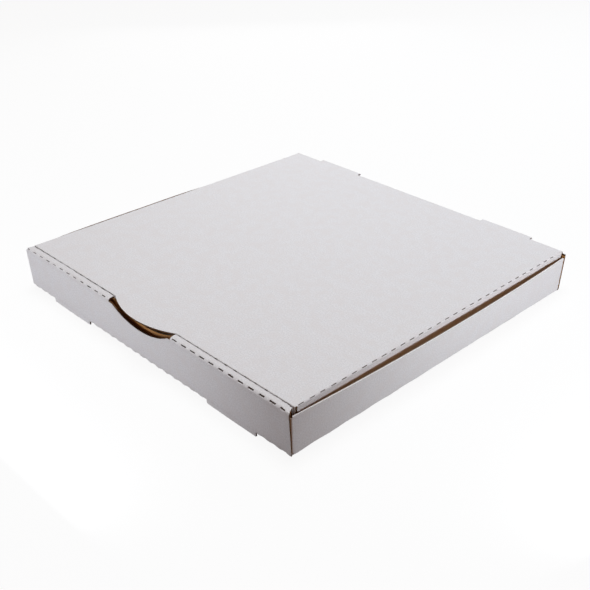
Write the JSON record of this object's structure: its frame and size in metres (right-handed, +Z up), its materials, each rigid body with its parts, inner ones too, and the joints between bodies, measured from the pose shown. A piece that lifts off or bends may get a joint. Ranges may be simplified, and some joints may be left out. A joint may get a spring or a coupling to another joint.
{
  "type": "pizza box",
  "caption": "Closed square corrugated pizza box with a rolled-over front wall, thumb notch and hinged tuck-in lid.",
  "frame": {"origin": "middle of the base panel's underside", "axes": "+Z up, -Y towards the front with the thumb notch, +Y towards the hinge, +X to the right seen from the front"},
  "size_m": [0.3918, 0.3891, 0.047],
  "materials": {
    "tray_board": "white-faced E-flute board, brown kraft inside",
    "lid_board": "white-faced E-flute board, brown kraft inside"
  },
  "bodies": {
    "tray": {"tray": "tray_board"},
    "lid": {"lid": "lid_board"}
  },
  "joints": [
    {"name": "lid_hinge", "type": "hinge", "parent": "tray", "child": "lid", "pos_m": [0, 0.1895, 0.0432], "axis": [-1, 0, 0], "range_deg": [0, 180]}
  ]
}
